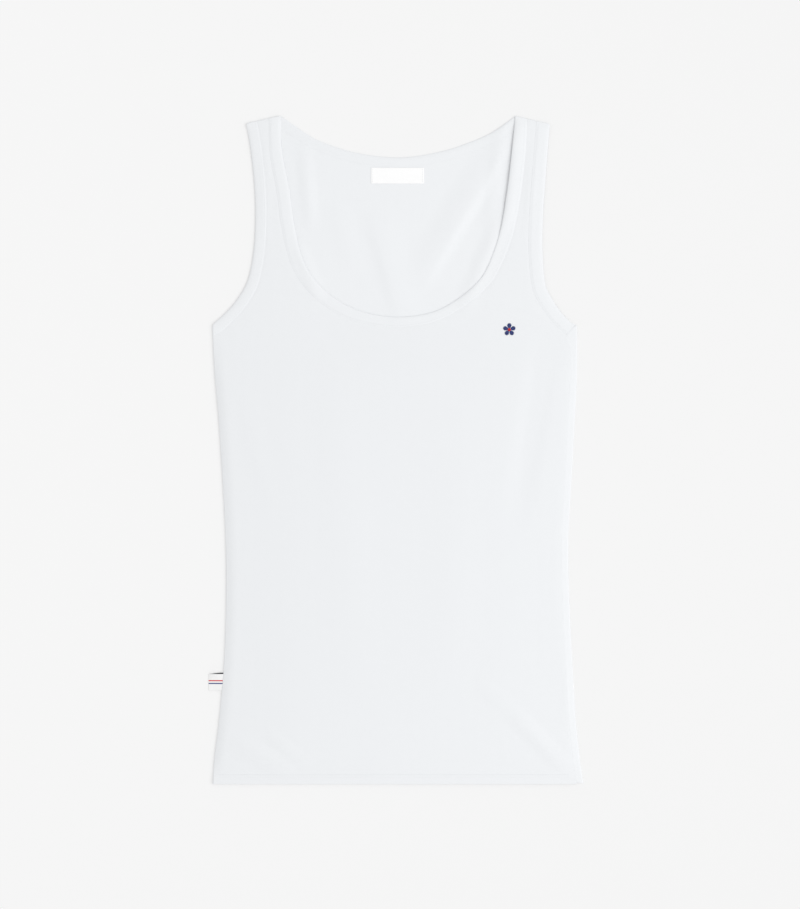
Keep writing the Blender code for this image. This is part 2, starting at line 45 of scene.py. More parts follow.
knit = dict(
    panelWall=0.9,  # one layer of rib knit
    bindingWall=1.25,  # a folded strip over the panel's raw edge
    hemExtra=0.45,  # the turned-up hem's second layer
    gap=0.1,  # between the two layers of the top
    foldRadius=0.675,  # of the cloth's middle, where it turns over
    seamOverlap=0.06,  # of two edges that meet at a seam
    tucked=1.5,  # how far a panel runs into its binding
    meshStep=3.0,
    edgeStep=2.4,  # along the edges and the bindings
    rings=(0.15, 0.45, 0.85, 1.2, 1.5, 1.85, 2.5),  # rows of points beside each edge
    pointGap=0.3,  # the least between other points near an edge
    rim=0.8,  # how thick an edge is, as a share of the wall
    rimRound=0.45,
    seamPull=(0.03, 0.16),  # how deep the seams pull in, on the back and the front
    lowerPull=(0.1, 0.0),  # the same on the under faces
    pullWidth=0.45,
    pullFade=1.5,  # how far from a side's fold it fades out
)
back, front = 0, 1
left, right = -1, 1


def smooth(value, start, end):
    share = np.clip((value - start) / (end - start), 0.0, 1.0)
    return share * share * (3.0 - 2.0 * share)


def unit(vectors):
    return vectors / np.linalg.norm(vectors, axis=-1, keepdims=True)


def lengthAlong(points):
    # how far along a line each of its points lies
    return np.concatenate([[0], np.cumsum(np.hypot(*np.diff(points, axis=0).T))])


def spline(places, values, at):
    # a smooth curve through uneven steps
    places, values = np.asarray(places, float), np.asarray(values, float)
    i = np.clip(np.searchsorted(places, at) - 1, 0, len(places) - 2)
    before, after = np.maximum(i - 1, 0), np.minimum(i + 2, len(places) - 1)
    step = places[i + 1] - places[i]
    slopeIn = (values[i + 1] - values[before]) / (places[i + 1] - places[before])
    slopeOut = (values[after] - values[i]) / (places[after] - places[i])
    t = (at - places[i]) / step
    return (
        values[i] * (2 * t**3 - 3 * t**2 + 1)
        + slopeIn * step * (t**3 - 2 * t**2 + t)
        + values[i + 1] * (3 * t**2 - 2 * t**3)
        + slopeOut * step * (t**3 - t**2)
    )


outline = dict(
    hem=-324.5,
    hemHeight=10.0,
    backHemRise=1.0,
    underarm=121.0,
    shoulderZone=130.0,
    yokeStart=75.0,
    yokeEnd=112.0,
    # the sides, from the hem to the underarm
    sideUp=(-324.7, -300, -262, -204, -146, -88, -30, 29, 68, 98, 130),
    sideLeft=(178.1, 176.4, 171.7, 166.8, 164.9, 165.4, 168.3, 172.2, 175.6, 177.5, 178.6),
    sideRight=(182.2, 178.4, 174.6, 171.2, 168.3, 167.3, 170.5, 173.6, 175.6, 176.0, 175.8),
)
rightSeam = dict(
    wrap=7.0,  # how far the back comes round onto the front
    underarmWrap=3.9,
    wrapStart=92.0,
    joint=112.0,  # the height of the joint with the armhole binding
    jointTuck=0.3,  # how far the back's edge runs into the binding's end
)
# free edges of the bindings: across, up, and the binding's width
neckFrontEdge = (
    (-112, 324.7, 11.6), (-110.6, 290.8, 12.1), (-103.3, 252, 12.8), (-98.5, 218, 12.8),
    (-90.4, 185, 12.6), (-77.6, 163.7, 12.6), (-56.5, 145.4, 12), (-32, 134.1, 11),
    (3, 129, 10), (36, 134, 9.4), (61.5, 147.6, 9.4), (81.5, 165.5, 10.2),
    (91.5, 183.5, 11.4), (101.2, 213.1, 12.9), (108, 252, 13.6), (112.5, 290.8, 13.5),
    (115.9, 324.4, 11.6),
)
neckBackEdge = (
    (-112, 324.7, 11.6), (-95, 312.4, 10), (-75, 300.4, 9.7), (-38, 288.4, 9.7),
    (4, 284, 9.7), (45, 290.1, 9.7), (79, 301.6, 9.7), (98.5, 311.4, 10),
    (115.9, 324.4, 11.6),
)
leftArmholeEdge = (
    (-145.5, 317, 10.8), (-141.1, 290.8, 10.8), (-137.4, 256, 10.8), (-136.5, 226, 10.8),
    (-138.2, 193.8, 10.8), (-144, 164.7, 10.8), (-154.7, 145.3, 10.8), (-166.5, 132.1, 10.8),
    (-178.5, 121, 10.8),
)
rightArmholeEdge = (
    (149.4, 316.4, 13.2), (147.4, 290.8, 13.6), (144.4, 252, 13.6), (142.4, 214, 13.6),
    (142.6, 186, 13.6), (145.4, 159.5, 13.2), (152.3, 145.3, 13), (161.8, 131.8, 12.6),
    (173.6, 120, 11.7),
)
backInset = 0.8  # the back's armhole edges lie this far inside the front's
quarterTurn = knit["foldRadius"] * math.pi / 2
bindingTurn = quarterTurn - knit["foldRadius"] - knit["bindingWall"] / 2
hemTop = outline["hem"] + outline["hemHeight"]


def sideReach(side, up):
    # how far the outline reaches from the middle at a height; side and up may be arrays
    ups = outline["sideUp"]
    up = np.minimum(up, ups[-1])
    reach = spline(ups, outline["sideRight"], up), spline(ups, outline["sideLeft"], up)
    return np.where(np.asarray(side) > 0, *reach)


def shoulderFold(neckEnd, armholeEnd):
    inner = np.array(neckEnd[:2])
    along = np.array(armholeEnd[:2]) - inner
    along /= np.hypot(*along)
    normal = np.array((abs(along[1]) * math.copysign(1, inner[0]), abs(along[0])))
    return dict(inner=inner, along=along, normal=normal)


shoulders = {
    left: shoulderFold(neckFrontEdge[0], leftArmholeEdge[0]),
    right: shoulderFold(neckFrontEdge[-1], rightArmholeEdge[0]),
}


# soft folds: from across, from up, to across, to up, half width, height, and the half width at the left
# where that differs
backFolds = (
    (106, 326, 90, 205, 11, 1.4, 13),  # the back comes up beside the right strap's neck edge
    (114, 308, 22, 156, 12, 2.6, 28),  # the ridge that runs down from there
    (112, 246, 64, 132, 13, 1.9),
    (-90, 300, -82, 212, 11, 1.4),
    (-97, 204, -73, 144, 11, 1.4),
    (-24, 232, 8, 120, 30, 1.5, 14),
    (-60, 244, -40, 168, 16, 0.6),
)
frontFolds = (
    (121, 338, 105, 203, 13, 2.1),  # the right strap's neck edge stands up
    (146, 112, 114, -80, 20, -1.3),
    (108, -250, 168, -312, 13, 1.5),
    (166, -196, 172, -274, 12, 0.6),
    (78, -226, 114, -254, 13, 0.6),
    (-160, -282, -98, -316, 15, 1.1),
    (-128, -272, -84, -308, 10, 0.6),
    (-60, 90, -36, -250, 34, 0.7),
    (60, 60, 52, -270, 38, 0.7),
    (-150, 60, -120, -60, 16, 0.4),
    (-128, 300, -126, 200, 8, 0.5),
    (134, 300, 128, 206, 8, 0.5),
)
crown = dict(height=1.6, reach=80.0, start=20.0, top=125.0, lowest=-0.3)  # the front's middle stands up
edgeRoll = dict(  # and its sides
    left=2.2,
    right=1.3,
    leftReach=9.0,
    rightReach=13.0,
    blend=120.0,  # how far across the left's values change into the right's
    start=60.0,
    top=125.0,
    hemFade=30.0,
)
neckSink = dict(start=60.0, end=95.0, depth=0.35)  # it rests on the back between the straps
foldClear = 9.0  # how far from an edge the folds fade out


def pastSide(flat, wall):
    # how far past the start of the nearer side's fold each point lies
    side = np.where(flat[:, 0] > 0, right, left)
    reach = sideReach(side, flat[:, 1])
    return side * flat[:, 0] - reach + knit["foldRadius"] + wall / 2


def pastShoulder(flat, wall):
    # the same for the nearer shoulder
    onRight = flat[:, :1] > 0
    inner, normal = (np.where(onRight, shoulders[right][k], shoulders[left][k]) for k in ("inner", "normal"))
    return ((flat - inner) * normal).sum(axis=1) + knit["foldRadius"] + wall / 2, normal


def turnAt(flat, wall):
    # how far past the start of its fold each point lies, and which way it turns there
    overShoulder = flat[:, 1] > outline["shoulderZone"]
    pastTop, normal = pastShoulder(flat, wall)
    sideways = np.stack([np.sign(flat[:, 0]), np.zeros(len(flat))], axis=1)
    past = np.where(overShoulder, pastTop, pastSide(flat, wall))
    return past, np.where(overShoulder[:, None], normal, sideways), overShoulder


def foldSum(folds, flat):
    total = np.zeros(len(flat))
    for fromX, fromY, toX, toY, halfWidth, height, *leftWidth in folds:
        start, run = np.array((fromX, fromY)), np.array((toX - fromX, toY - fromY))
        length = math.hypot(*run)
        offset = flat - start
        share = offset @ run / length**2
        leftward = (offset[:, 0] * run[1] - offset[:, 1] * run[0]) / length
        away = np.abs(leftward) / np.where(leftward > 0, (leftWidth or [halfWidth])[0], halfWidth)
        inside = (share > 0) & (share < 1) & (away < 1)
        ends = np.sin(np.clip(share, 0, 1) * math.pi) ** 0.7
        total += np.where(inside, height * np.cos(np.minimum(away, 1) * math.pi / 2) ** 2 * ends, 0)
    return total


def underFront(flat):
    # the height that the front lies at, over the back's bindings and, between them, its cloth
    middle = smooth(np.abs(flat[:, 0]), neckSink["end"], neckSink["start"])
    low = smooth(flat[:, 1], outline["yokeStart"], outline["yokeEnd"])
    return knit["bindingWall"] - neckSink["depth"] * middle * low


def lifted(layer, flat):
    # how far the folds, the crown and the rolled sides lift the cloth
    inward = -pastSide(flat, knit["panelWall"])
    up, hem = flat[:, 1], outline["hem"]
    past, _ = pastShoulder(flat, knit["panelWall"])
    low = smooth(inward, 0.0, foldClear) * smooth(up, hem, hem + foldClear)
    fade = np.where(up > outline["shoulderZone"], smooth(-past, 0.0, foldClear), low)
    lift = np.maximum(foldSum(backFolds, flat), 0.0) * fade
    if layer == front:
        rise = crown["height"] * smooth(inward, 0.0, crown["reach"])
        rise = rise * smooth(up, hem, hem + crown["reach"]) * smooth(up, crown["top"], crown["start"])
        lift = lift + np.maximum(rise + foldSum(frontFolds, flat), crown["lowest"]) * fade
        rightward = smooth(flat[:, 0], -edgeRoll["blend"], edgeRoll["blend"])
        reach = edgeRoll["leftReach"] + (edgeRoll["rightReach"] - edgeRoll["leftReach"]) * rightward
        puff = edgeRoll["left"] + (edgeRoll["right"] - edgeRoll["left"]) * rightward
        puff = puff * (1 - (1 - np.clip(inward / reach, 0, 1)) ** 2)
        puff = puff * smooth(up, edgeRoll["top"], edgeRoll["start"])
        lift = lift + puff * smooth(up, hem, hem + edgeRoll["hemFade"])
    return lift


def lay(layer, flat, height, wall):
    # where points of the unrolled cloth lie, in metres; height is measured up through the wall
    radius = knit["foldRadius"]
    past, turn, overShoulder = turnAt(flat, wall)
    past = np.maximum(past, 0.0)
    angle = np.minimum(past / radius, math.pi)
    beyond = np.maximum(past - math.pi * radius, 0.0)
    through = height - wall / 2
    climbs = 1.0 if layer == back else -1.0
    base = lifted(layer, flat)
    if layer == front:
        base = base + underFront(flat) + knit["gap"]
    elif (beyond > 0).any():
        # past the fold at the right the back lies on top, and rises with the front beside it
        onTop = flat.copy()
        onTop[:, 0] = 2 * (sideReach(right, flat[:, 1]) - radius - wall / 2) + math.pi * radius - flat[:, 0]
        base = base + np.where((beyond > 0) & ~overShoulder, lifted(front, onTop), 0.0)
    outward = radius * np.sin(angle) - beyond - past - climbs * through * np.sin(angle)
    level = base + wall / 2 + climbs * radius * (1 - np.cos(angle)) + through * np.cos(angle)
    return np.column_stack([flat + turn * outward[:, None], level]) / 1000


def wallAt(up):
    return knit["panelWall"] + knit["hemExtra"] * smooth(up, hemTop + 1.6, hemTop - 1.6)


lineSteps = dict(
    nearEnd=(0.0, 0.3, 0.6, 0.9, 1.2, 1.5, 1.8, 2.4, 3.2),  # close together at a strip's ends
    evenFrom=4.5,  # and even between them
    neckReach=(8.0, 14.0),  # how far a shoulder fold turns the neck's lines, on the back and the front
    armholeReach=9.0,  # the same for the armholes, and at the sides
    wallFade=(-4.0, 1.2),  # past a fold's start, where a panel's edge moves out under the thicker binding
)


def crossLines(rows, hand, ends, inset=0.0, side=right):
    # a binding's lines from its free edge to its seam; hand is 1 where the cloth lies to the left of the
    # way the rows run, -1 to the right
    rows = np.array(rows, float)
    ease = np.minimum(np.arange(len(rows)) / 2, 1)
    xs, ys = rows[:, 0] - side * inset * ease, rows[:, 1]
    along = lengthAlong(np.column_stack([xs, ys]))
    length = along[-1]
    nearEnd, evenFrom = np.array(lineSteps["nearEnd"]), lineSteps["evenFrom"]
    count = round((length - 2 * evenFrom) / knit["edgeStep"]) + 1
    middle = np.linspace(evenFrom, length - evenFrom, count)
    distance = np.concatenate([nearEnd, middle, length - nearEnd[::-1]])

    def placeAt(at):
        return np.column_stack([spline(along, xs, at), spline(along, ys, at)])

    place = placeAt(distance)
    heading = unit(placeAt(np.minimum(distance + 0.5, length)) - placeAt(np.maximum(distance - 0.5, 0)))
    across = np.column_stack([-heading[:, 1], heading[:, 0]]) * hand
    for end, away in zip(ends, (distance, length - distance)):
        if end:
            direction, shift, reach = end
            share = (1 - smooth(away, 0.0, reach))[:, None]
            across = across * (1 - share) + np.array(direction) * share
            place = place + np.array(shift) * share
    band = np.interp(distance, along, rows[:, 2])
    return place, place + unit(across) * band[:, None]


def shoulderEnd(side, hand, reach):
    fold = shoulders[side]
    return fold["along"] * hand, fold["normal"] * bindingTurn, reach


def sideEnd(side, corner, inset):
    across, up, band = corner
    shift = sideReach(side, up) + bindingTurn - (side * across - inset)
    slope = sideReach(side, up - band) - sideReach(side, up)
    direction = np.array((side * slope, -band)) / math.hypot(slope, band)
    return direction, (side * shift, 0.0), lineSteps["armholeReach"]


def neckLines(layer):
    rows, reach = neckFrontEdge if layer == front else neckBackEdge, lineSteps["neckReach"][layer]
    return crossLines(rows, -1, [shoulderEnd(side, 1, reach) for side in (left, right)])


def armholeLines(layer, side):
    rows = leftArmholeEdge if side == left else rightArmholeEdge
    inset = backInset if layer == back else 0.0
    shoulder, underarm = shoulderEnd(side, -1, lineSteps["armholeReach"]), sideEnd(side, rows[-1], inset)
    if layer == front and side == right:
        underarm = None  # square, against the back's wrap
    return crossLines(rows, -side, (shoulder, underarm), inset, side)


class Socket:
    # a shader value that is written as an expression
    def __init__(self, finish, link):
        self.finish, self.link = finish, link

    def math(self, operation, *others):
        values = dict(enumerate((self, *others)))
        return self.finish.add("Math", dict(operation=operation), values)["Value"]

    def __add__(self, other):
        return self.math("ADD", other)

    def __sub__(self, other):
        return self.math("SUBTRACT", other)

    def __mul__(self, other):
        return self.math("MULTIPLY", other)

    def __rsub__(self, other):
        return (self * -1.0).math("ADD", other)

    __radd__, __rmul__ = __add__, __mul__

    def sine(self):
        return self.math("SINE")

    def ramp(self, low, high):
        # 0 below low and 1 above high, with soft ends
        values = {"Value": self, "From Min": low, "From Max": high}
        return self.finish.add("MapRange", dict(interpolation_type="SMOOTHSTEP"), values)["Result"]


class Finish:
    # a material: every node goes through add()
    def __init__(self, name):
        self.material = bpy.data.materials.new(name)
        self.material.use_nodes = True
        self.tree = self.material.node_tree
        self.shader = self.tree.nodes["Principled BSDF"]

    def add(self, kind, settings=None, values=None):
        node = self.tree.nodes.new("ShaderNode" + kind)
        for key, value in (settings or {}).items():
            setattr(node, key, value)
        self.fill(node, values or {})
        return {out.name: Socket(self, out) for out in node.outputs if out.enabled}

    def fill(self, node, values):
        for key, value in values.items():
            socket = node.inputs[key]
            if isinstance(value, Socket):
                self.tree.links.new(value.link, socket)
            elif isinstance(value, tuple) and len(value) == 3 and socket.type == "RGBA":
                socket.default_value = (*value, 1.0)
            else:
                socket.default_value = value

    def mix(self, share, first, second):
        # a colour between two; Mix repeats its sockets' names, so its inputs go by number
        settings = dict(data_type="RGBA", clamp_factor=True)
        return self.add("Mix", settings, {0: share, 6: first, 7: second})["Result"]

    def cloth(self):
        # the place on the cloth, in millimetres
        place = self.add("SeparateXYZ", values={"Vector": self.add("UVMap", dict(uv_map="cloth"))["UV"]})
        return place["X"] * 1000.0, place["Y"] * 1000.0

    def noise(self, scale, detail=2.0, stretch=(1.0, 1.0, 1.0)):
        where = self.add("TexCoord")["Object"]
        place = self.add("Mapping", values={"Vector": where, "Scale": stretch})["Vector"]
        return self.add("TexNoise", values={"Vector": place, "Scale": scale, "Detail": detail})["Fac"]

    def bump(self, height, distance):
        return self.add("Bump", values={"Height": height, "Distance": distance})["Normal"]

    def finish(self, **sockets):
        self.fill(self.shader, {key.replace("_", " "): value for key, value in sockets.items()})
        return self.material


ribKnit = dict(
    # the ribs' colour, and a darker copy that is painted shade in the valleys between them
    bright=(0.838, 0.852, 0.868),
    valleyShade=(0.814, 0.830, 0.848),
    ribPitch=0.9,  # millimetres
    loopPitch=0.72,
    depth=0.00009,  # metres
    wander=0.5,  # how far the ribs stray, in millimetres
    roughness=0.88,
    sheen=0.12,
    insideTone=1.014,  # the back's and the bindings' brightness beside the front's
    bindingTone=1.011,
)


def ribFinish(name, tone=1.0):
    # fine ribs up the cloth, each a column of small loops, with painted shade in the valleys between the ribs
    finish = Finish(name)
    across, up = finish.cloth()
    wander = finish.noise(22.0, 1.0)
    phase = (across + wander * ribKnit["wander"]) * (2 * math.pi / ribKnit["ribPitch"])
    rib = phase.sine() * 0.5 + 0.5
    lean = across * (math.pi / ribKnit["ribPitch"])
    loop = (up * (2 * math.pi / ribKnit["loopPitch"]) + lean.sine() * 1.2).sine() * 0.5 + 0.5
    fibre = finish.noise(2600.0, 2.0)
    cloud = finish.noise(9.0, 3.0, (1.0, 0.35, 1.0))
    height = rib.math("POWER", 0.7) * 0.75 + loop * 0.2 + fibre * 0.25
    light, dark = (tuple(part * tone for part in ribKnit[shade]) for shade in ("bright", "valleyShade"))
    # painted shade darkens the rib valleys; the cloud and fibre noise are random tone
    shade = (1.0 - rib) * 0.55 + (1.0 - cloud) * 0.35 + fibre * 0.1
    return finish.finish(
        Base_Color=finish.mix(shade, light, dark),
        Roughness=ribKnit["roughness"] + fibre * 0.08,
        Normal=finish.bump(height, ribKnit["depth"]),
        Sheen_Weight=ribKnit["sheen"],
        Sheen_Roughness=0.5,
        Specular_IOR_Level=0.25,
    )


twistedThread = dict(across=9.0, up=22.0, depth=0.00005, shaded=0.86)


def threadFinish(name, colour, roughness=0.6):
    # twisted sewing thread
    finish = Finish(name)
    across, up = finish.cloth()
    twist = (across * twistedThread["across"] + up * twistedThread["up"]).sine() * 0.5 + 0.5
    fibre = finish.noise(3000.0, 1.0)
    darker = tuple(part * twistedThread["shaded"] for part in colour)
    return finish.finish(
        Base_Color=finish.mix((1.0 - twist) * 0.5 + fibre * 0.3, colour, darker),
        Roughness=roughness + fibre * 0.1,
        Normal=finish.bump(twist, twistedThread["depth"]),
        Specular_IOR_Level=0.35,
    )


wovenTape = dict(
    pitch=0.42,  # millimetres
    depth=0.00004,  # metres
    shaded=0.955,
    innerFacesFrom=60.0,  # the folded tape's inner faces are laid out past this place along it
    innerShade=(0.05, 0.05, 0.06),  # painted shade, near black, on those inner faces between the leaves
    shadeClearEdge=0.9,  # the painted shade stops about this far short of the tape's long edges
)


def wovenFinish(name, white, stripes=(), height=None):
    # smooth satin tape with a fine plain weave, and stripes as (place up the tape, width, colour); height,
    # the tape's width, is given where its folded inner faces get painted shade
    finish = Finish(name)
    across, up = finish.cloth()
    turn = 2 * math.pi / wovenTape["pitch"]
    weave = (across * turn).sine() * (up * turn * 0.8).sine() * 0.5 + 0.5
    cloud = finish.noise(60.0, 2.0)
    dark = tuple(part * wovenTape["shaded"] for part in white)
    colour = finish.mix((1.0 - weave) * 0.5 + cloud * 0.3, white, dark)
    for place, width, dye in stripes:
        away = (up - place).math("ABSOLUTE")
        colour = finish.mix(1.0 - away.ramp(width * 0.35, width * 0.65), colour, dye)
    if height:
        start, edge = wovenTape["innerFacesFrom"], height / 2 - wovenTape["shadeClearEdge"]
        fromMiddle = (up - height / 2).math("ABSOLUTE")
        # painted shade on the folded tape's inner faces, as the shadow between the tag's leaves
        paintedShade = across.ramp(start - 1.0, start - 0.5) * (1.0 - fromMiddle.ramp(edge, edge + 0.3))
        colour = finish.mix(paintedShade, colour, wovenTape["innerShade"])
    return finish.finish(
        Base_Color=colour,
        Roughness=0.55 + cloud * 0.15,
        Normal=finish.bump(weave, wovenTape["depth"]),
        Specular_IOR_Level=0.4,
    )


def addObject(name, data):
    item = bpy.data.objects.new(name, data)
    bpy.context.scene.collection.objects.link(item)
    return item


def makePiece(name, points, faces, material, flat=None):
    mesh = bpy.data.meshes.new(name)
    mesh.from_pydata([tuple(p) for p in points], [], faces)
    mesh.validate()
    if flat is not None:
        layer = mesh.uv_layers.new(name="cloth")
        corner = np.empty(len(mesh.loops), dtype=np.int32)
        mesh.loops.foreach_get("vertex_index", corner)
        layer.data.foreach_set("uv", (np.asarray(flat)[corner] / 1000).ravel())
    mesh.shade_smooth()
    mesh.materials.append(material)
    return addObject(name, mesh)


def ringFaces(first, rings, count, closed=False):
    # between rings of points that follow each other
    faces = []
    for i in range(rings if closed else rings - 1):
        a, b = first + i * count, first + (i + 1) % rings * count
        faces += [(a + k, a + (k + 1) % count, b + (k + 1) % count, b + k) for k in range(count)]
    return faces


def insideOutline(points, loop):
    hit = np.zeros(len(points), bool)
    for a, b in zip(loop, np.roll(loop, -1, axis=0)):
        if a[1] == b[1]:
            continue
        spans = (a[1] > points[:, 1]) != (b[1] > points[:, 1])
        meets = a[0] + (points[:, 1] - a[1]) / (b[1] - a[1]) * (b[0] - a[0])
        hit ^= spans & (points[:, 0] < meets)
    return hit


def edgeDistance(points, loop, closed=True):
    # how far each point lies from an outline or a line
    nearest = np.full(len(points), np.inf)
    for a, b in zip(loop, np.roll(loop, -1, axis=0) if closed else loop[1:]):
        run = b - a
        share = np.clip((points - a) @ run / max(run @ run, 1e-12), 0, 1)
        nearest = np.minimum(nearest, np.hypot(*(points - a - share[:, None] * run).T))
    return nearest


def evenly(start, end, step):
    return np.linspace(start, end, max(2, math.ceil(abs(end - start) / step)) + 1)


def clothPanel(name, layer, loop, rows, closeRows, sewn, material):
    # a panel from its outline on the unrolled cloth: two faces that close over a rounded edge; rows of
    # points keep clear of the edge, and closeRows run right up to it
    tangent = np.roll(loop, -1, axis=0) - np.roll(loop, 1, axis=0)
    tangent /= np.maximum(np.linalg.norm(tangent, axis=1), 1e-9)[:, None]
    inward = np.column_stack([-tangent[:, 1], tangent[:, 0]])

    def within(points, margin):
        return points[insideOutline(points, loop) & (edgeDistance(points, loop) > margin)]

    held = [within(loop + inward * offset, offset * 0.9) for offset in knit["rings"]]
    held = np.concatenate([*held, within(np.concatenate(rows), knit["rings"][-1] + 0.35)])
    if closeRows:
        close = np.concatenate(closeRows)
        apart = np.array([np.hypot(*(close - point).T).min() for point in held])
        held = np.concatenate([held[apart > knit["pointGap"]], within(close, knit["pointGap"])])
    fixed = np.concatenate([loop, held])
    tree = KDTree(len(fixed))
    for k, (x, y) in enumerate(fixed):
        tree.insert((x, y, 0), k)
    tree.balance()
    step = knit["meshStep"]
    low, high = loop.min(axis=0), loop.max(axis=0)
    xs, ys = np.arange(low[0], high[0], step), np.arange(low[1], high[1], step * 0.866)
    grid = np.array([(x + (j % 2) * step / 2, y) for j, y in enumerate(ys) for x in xs])
    grid = grid[insideOutline(grid, loop)]
    grid = grid[[tree.find((x, y, 0))[2] > step * 0.55 for x, y in grid]]
    points = np.concatenate([fixed, grid])
    edges = [(k, (k + 1) % len(loop)) for k in range(len(loop))]
    found, _, hull, *_ = delaunay_2d_cdt([Vector(p) for p in points], edges, [], 0, 1e-5, False)
    flat = np.array([tuple(p) for p in found])
    hull = np.array(hull)
    triangles = hull[insideOutline(flat[hull].mean(axis=1), loop)]
    count = len(flat)
    wall = wallAt(flat[:, 1])
    depth = np.clip(edgeDistance(flat, loop) / knit["rimRound"], 0, 1)
    fullness = knit["rim"] + (1 - knit["rim"]) * np.sqrt(1 - (1 - depth) ** 2)
    fromSeam = np.minimum.reduce([edgeDistance(flat, line, closed=False) for line in sewn])
    pull = np.exp(-(((fromSeam - knit["tucked"]) / knit["pullWidth"]) ** 2))
    pull = pull * smooth(-pastSide(flat, wall), 0.0, knit["pullFade"])
    lower = lay(layer, flat, wall / 2 * (1 - fullness) + pull * knit["lowerPull"][layer], wall)
    upper = lay(layer, flat, wall / 2 * (1 + fullness) - pull * knit["seamPull"][layer], wall)
    known = {(t[k], t[(k + 1) % 3]) for t in triangles for k in range(3)}
    faces = [tuple(t) for t in triangles + count] + [tuple(t) for t in triangles[:, ::-1]]
    rim = [side for side in known if side[::-1] not in known]
    faces += [(a, b, count + b, count + a) for a, b in sorted(rim)]
    piece = makePiece(name, np.concatenate([lower, upper]), faces, material, np.concatenate([flat, flat]))
    corners = flat[triangles]
    first, second = corners[:, 1] - corners[:, 0], corners[:, 2] - corners[:, 0]
    area = np.abs(first[:, 0] * second[:, 1] - first[:, 1] * second[:, 0]).sum() / 2
    return piece, float(area) / 1e6


binding = dict(
    shares=(0.0, 0.01, 0.03, 0.07, 0.13, 0.2, 0.3, 0.42, 0.55, 0.68, 0.78, 0.83, 0.88, 0.93, 0.97, 0.99, 1.0),
    foldRound=0.3,  # share of the width that the folded free edge takes to round over
    seamRound=(0.7, 0.22),  # the same at the seam, on the back and the front
    seamFace=(0.76, 0.64),  # share of the wall that is left at the seam's edge
    droop=0.75,  # how far the free edge comes down, as a share of what it thins
    roll=0.55,  # how far the front's free edges roll over the back's
    rollEnd=0.7,  # share of the width where that starts
    restShare=0.65,  # how much of a fold's height the neck's free edge loses
    stands=(104.0, 80.0),  # past the second place across it loses less, and past the first nothing
    restGap=0.05,  # between the front's neck edge and the back that it comes down to
    restFade=(16.0, 34.0),  # how far from the shoulders' folds it starts to come down, and is down
    softFade=(0.5, 6.0),  # the same for the free edge's droop and roll, from any fold
    groove=0.045,  # how deep the stitching pulls in, as a share of the wall
    grooveAt=0.17,  # share of the width from the seam
    grooveWidth=0.05,
)


def stripLevels(share, layer):
    # the outer and inner face at a share of the width, and how far they sink, as shares of the wall
    fold = math.sqrt(1 - max(0.0, 1 - share / binding["foldRound"]) ** 2)
    edge = float(smooth(1 - share, 0.0, binding["seamRound"][layer])) ** 0.6
    full = min(fold, binding["seamFace"][layer] + (1 - binding["seamFace"][layer]) * edge)
    sink = 0.5 * (1 - full) * (1.0 if share > 0.5 else binding["droop"])
    pull = binding["groove"] * math.exp(-(((1 - share - binding["grooveAt"]) / binding["grooveWidth"]) ** 2))
    return 0.5 + 0.5 * full - pull, 0.5 - 0.5 * full, sink


def stripSection(layer):
    # once round a soft folded strip: share of the width, height through the wall, sinking
    levels = np.array([(share, *stripLevels(share, layer)) for share in binding["shares"]])
    return np.concatenate([levels[:, [0, 1, 3]], levels[:0:-1, [0, 2, 3]]])


def strip(name, runs, closed, material):
    # a binding through its cross-lines; runs are (layer, free edges, seams)
    points, cloth, along, last = [], [], 0.0, None
    for layer, edges, seams in runs:
        section = stripSection(layer)
        flat = edges[:, None] * (1 - section[:, :1]) + seams[:, None] * section[:, :1]
        flat = flat.reshape(-1, 2)
        through = section[:, 1] if layer == front else 1 - section[:, 1]
        height = np.tile(through, len(edges)) * knit["bindingWall"]
        laid = lay(layer, flat, height, knit["bindingWall"])
        past = turnAt(flat, knit["bindingWall"])[0]
        clear = smooth(-past, *binding["softFade"])
        sunk = np.tile(section[:, 2], len(edges)) * knit["bindingWall"] * clear
        if layer == front:
            share = np.tile(section[:, 0], len(edges))
            drop = np.full(len(flat), binding["roll"])
            if closed:
                # the neck's free edge lies on the back, once it is clear of the back's own binding
                rests = smooth(flat[:, 0], *binding["stands"]) * binding["restShare"]
                rest = (lifted(front, flat) - lifted(back, flat)) * rests + underFront(flat)
                rest = rest + knit["gap"] - knit["panelWall"] - binding["restGap"]
                drop = drop + (rest - drop) * smooth(-past, *binding["restFade"])
            sunk = sunk + drop * clear * np.maximum(1 - share / binding["rollEnd"], 0) ** 2
        laid[:, 2] -= sunk / 1000
        points.append(laid)
        middles = (edges + seams) / 2
        start = along + (np.linalg.norm(middles[0] - last) if last is not None else 0.0)
        distance = start + lengthAlong(middles)
        along, last = distance[-1], middles[-1]
        width = np.linalg.norm(seams - edges, axis=1)[:, None] * section[:, 0]
        cloth.append(np.column_stack([np.repeat(distance, len(section)), width.ravel()]))
    points, cloth = np.concatenate(points), np.concatenate(cloth)
    count = len(section)
    faces = ringFaces(0, len(points) // count, count, closed)
    if not closed:
        faces.append(tuple(range(count)))
        faces.append(tuple(range(len(points) - count, len(points))))
    return makePiece(name, points, faces, material, cloth)


def seamPath(edges, seams):
    # a panel's edge under a binding, a little inside the seam
    points = seams - unit(seams - edges) * knit["tucked"]
    ahead = np.gradient(seams, axis=0)
    move = (knit["bindingWall"] - knit["panelWall"]) / 2
    past, turn, _ = turnAt(points, knit["panelWall"])
    move = move * smooth(past, *lineSteps["wallFade"])
    return points + ahead * (move / (ahead * turn).sum(axis=1))[:, None]


def foldLine(side, up):
    return side * (sideReach(side, up) - knit["foldRadius"] - wallAt(up) / 2 + quarterTurn)


def leftEdge(up):
    return foldLine(left, up) - knit["seamOverlap"] / 2


def seamReach(up):
    more = rightSeam["underarmWrap"] * smooth(up, rightSeam["wrapStart"], rightSeam["joint"])
    return sideReach(right, up) - (rightSeam["wrap"] + more)


